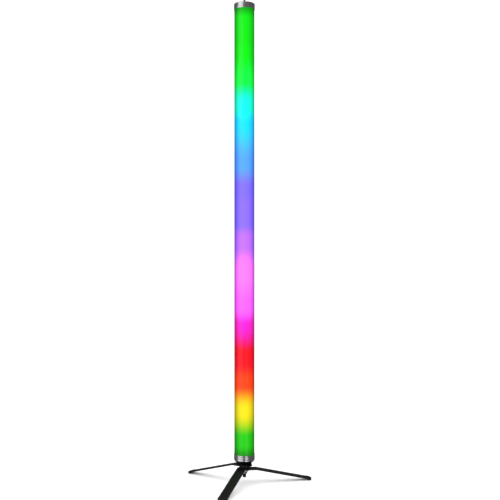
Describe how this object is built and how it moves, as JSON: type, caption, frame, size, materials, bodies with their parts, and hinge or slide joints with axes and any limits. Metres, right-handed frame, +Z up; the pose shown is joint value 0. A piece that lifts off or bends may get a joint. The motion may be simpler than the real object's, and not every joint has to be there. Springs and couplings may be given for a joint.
{
  "type": "led light tube",
  "caption": "Upright battery LED light tube with an opal diffuser lit in a spectrum of colour bands, metal end caps, a hanging eye and a folding flat-bar floor stand.",
  "frame": {"origin": "on the tube's axis, level with the soles of the feet", "axes": "+Z up along the tube, -Y towards the front, +X to the right"},
  "size_m": [0.2804, 0.236, 1.0795],
  "materials": {
    "opal_polycarbonate": "extruded opal polycarbonate, lit from inside",
    "anodised_aluminium": "turned and satin anodised",
    "raw_aluminium": "as extruded",
    "black_anodised": "turned and black anodised",
    "black_powder_coat": "fine-textured black powder coat on flat steel bar",
    "black_oxide_steel": "black oxide, oiled",
    "zinc_steel": "bright zinc plated",
    "stainless_steel": "tumbled stainless steel",
    "black_rubber": "moulded, matt",
    "black_nylon": "stamped nylon sheet",
    "brass": "turned",
    "circuit_board": "white solder mask",
    "led_package": "moulded package with a clear window",
    "cell_wrap": "shrink wrap",
    "moulded_black": "injection moulded, fine spark texture",
    "moulded_grey": "injection moulded, fine spark texture",
    "clear_lens": "polished clear lens"
  },
  "bodies": {
    "light": {"diffuser_tube": "opal_polycarbonate", "top_cap": "anodised_aluminium", "bottom_cap": "anodised_aluminium", "top_seal": "black_rubber", "bottom_seal": "black_rubber", "top_cap_screws": "black_oxide_steel", "bottom_cap_screws": "black_oxide_steel", "spine": "raw_aluminium", "front_led_board": "circuit_board", "rear_led_board": "circuit_board", "front_leds": "led_package", "rear_leds": "led_package", "battery_cells": "cell_wrap", "cell_spacers": "moulded_black", "control_board": "circuit_board", "board_components": "moulded_black", "radio_module": "circuit_board", "top_holder": "moulded_grey", "bottom_holder": "moulded_grey", "button_switches": "moulded_black", "charge_socket": "moulded_black", "status_light": "clear_lens", "eye_bolt": "stainless_steel", "eye_washer": "stainless_steel", "eye_nut": "stainless_steel", "thread_insert": "brass", "stand_stud": "black_oxide_steel", "base_pad": "black_rubber", "stand_hub": "black_anodised", "hub_washer": "black_nylon"},
    "front_leg": {"front_leg": "black_powder_coat", "front_foot": "black_rubber", "leg_washers": "black_nylon"},
    "left_leg": {"left_leg": "black_powder_coat", "left_foot": "black_rubber"},
    "right_leg": {"right_leg": "black_powder_coat", "right_foot": "black_rubber"},
    "clamp_washer": {"clamp_washer": "zinc_steel"},
    "clamp_nut": {"clamp_nut": "zinc_steel"},
    "power_button": {"power_button": "moulded_black"},
    "mode_button": {"mode_button": "moulded_grey"},
    "port_plug": {"port_plug": "black_rubber"}
  },
  "joints": [
    {"name": "tube_swivel", "type": "hinge", "parent": "light", "child": "front_leg", "pos_m": [0, 0, 0], "axis": [0, 0, 1], "continuous": true},
    {"name": "left_leg_fold", "type": "hinge", "parent": "front_leg", "child": "left_leg", "pos_m": [0, 0, 0], "axis": [0, 0, 1], "range_deg": [-30, 75]},
    {"name": "right_leg_fold", "type": "hinge", "parent": "front_leg", "child": "right_leg", "pos_m": [0, 0, 0], "axis": [0, 0, 1], "range_deg": [-87, 30]},
    {"name": "clamp_washer_drop", "type": "slide", "parent": "light", "child": "clamp_washer", "axis": [0, 0, -1], "range_m": [0, 0.00625]},
    {"name": "clamp_nut_turn", "type": "hinge", "parent": "clamp_washer", "child": "clamp_nut", "pos_m": [0, 0, 0], "axis": [0, 0, -1], "range_deg": [0, 1801]},
    {"name": "power_button_press", "type": "slide", "parent": "light", "child": "power_button", "axis": [0, 0, -1], "range_m": [0, 0.0008], "stiffness_N_per_m": 300, "springref_m": -0.0005},
    {"name": "mode_button_press", "type": "slide", "parent": "light", "child": "mode_button", "axis": [0, 0, -1], "range_m": [0, 0.0008], "stiffness_N_per_m": 300, "springref_m": -0.0005},
    {"name": "port_plug_pull", "type": "slide", "parent": "light", "child": "port_plug", "axis": [0, 0, 1], "range_m": [0, 0.012]}
  ],
  "couplings": [
    {"joint": "clamp_nut_turn", "follows": "clamp_washer_drop", "rad_per_m": 5026.5}
  ]
}
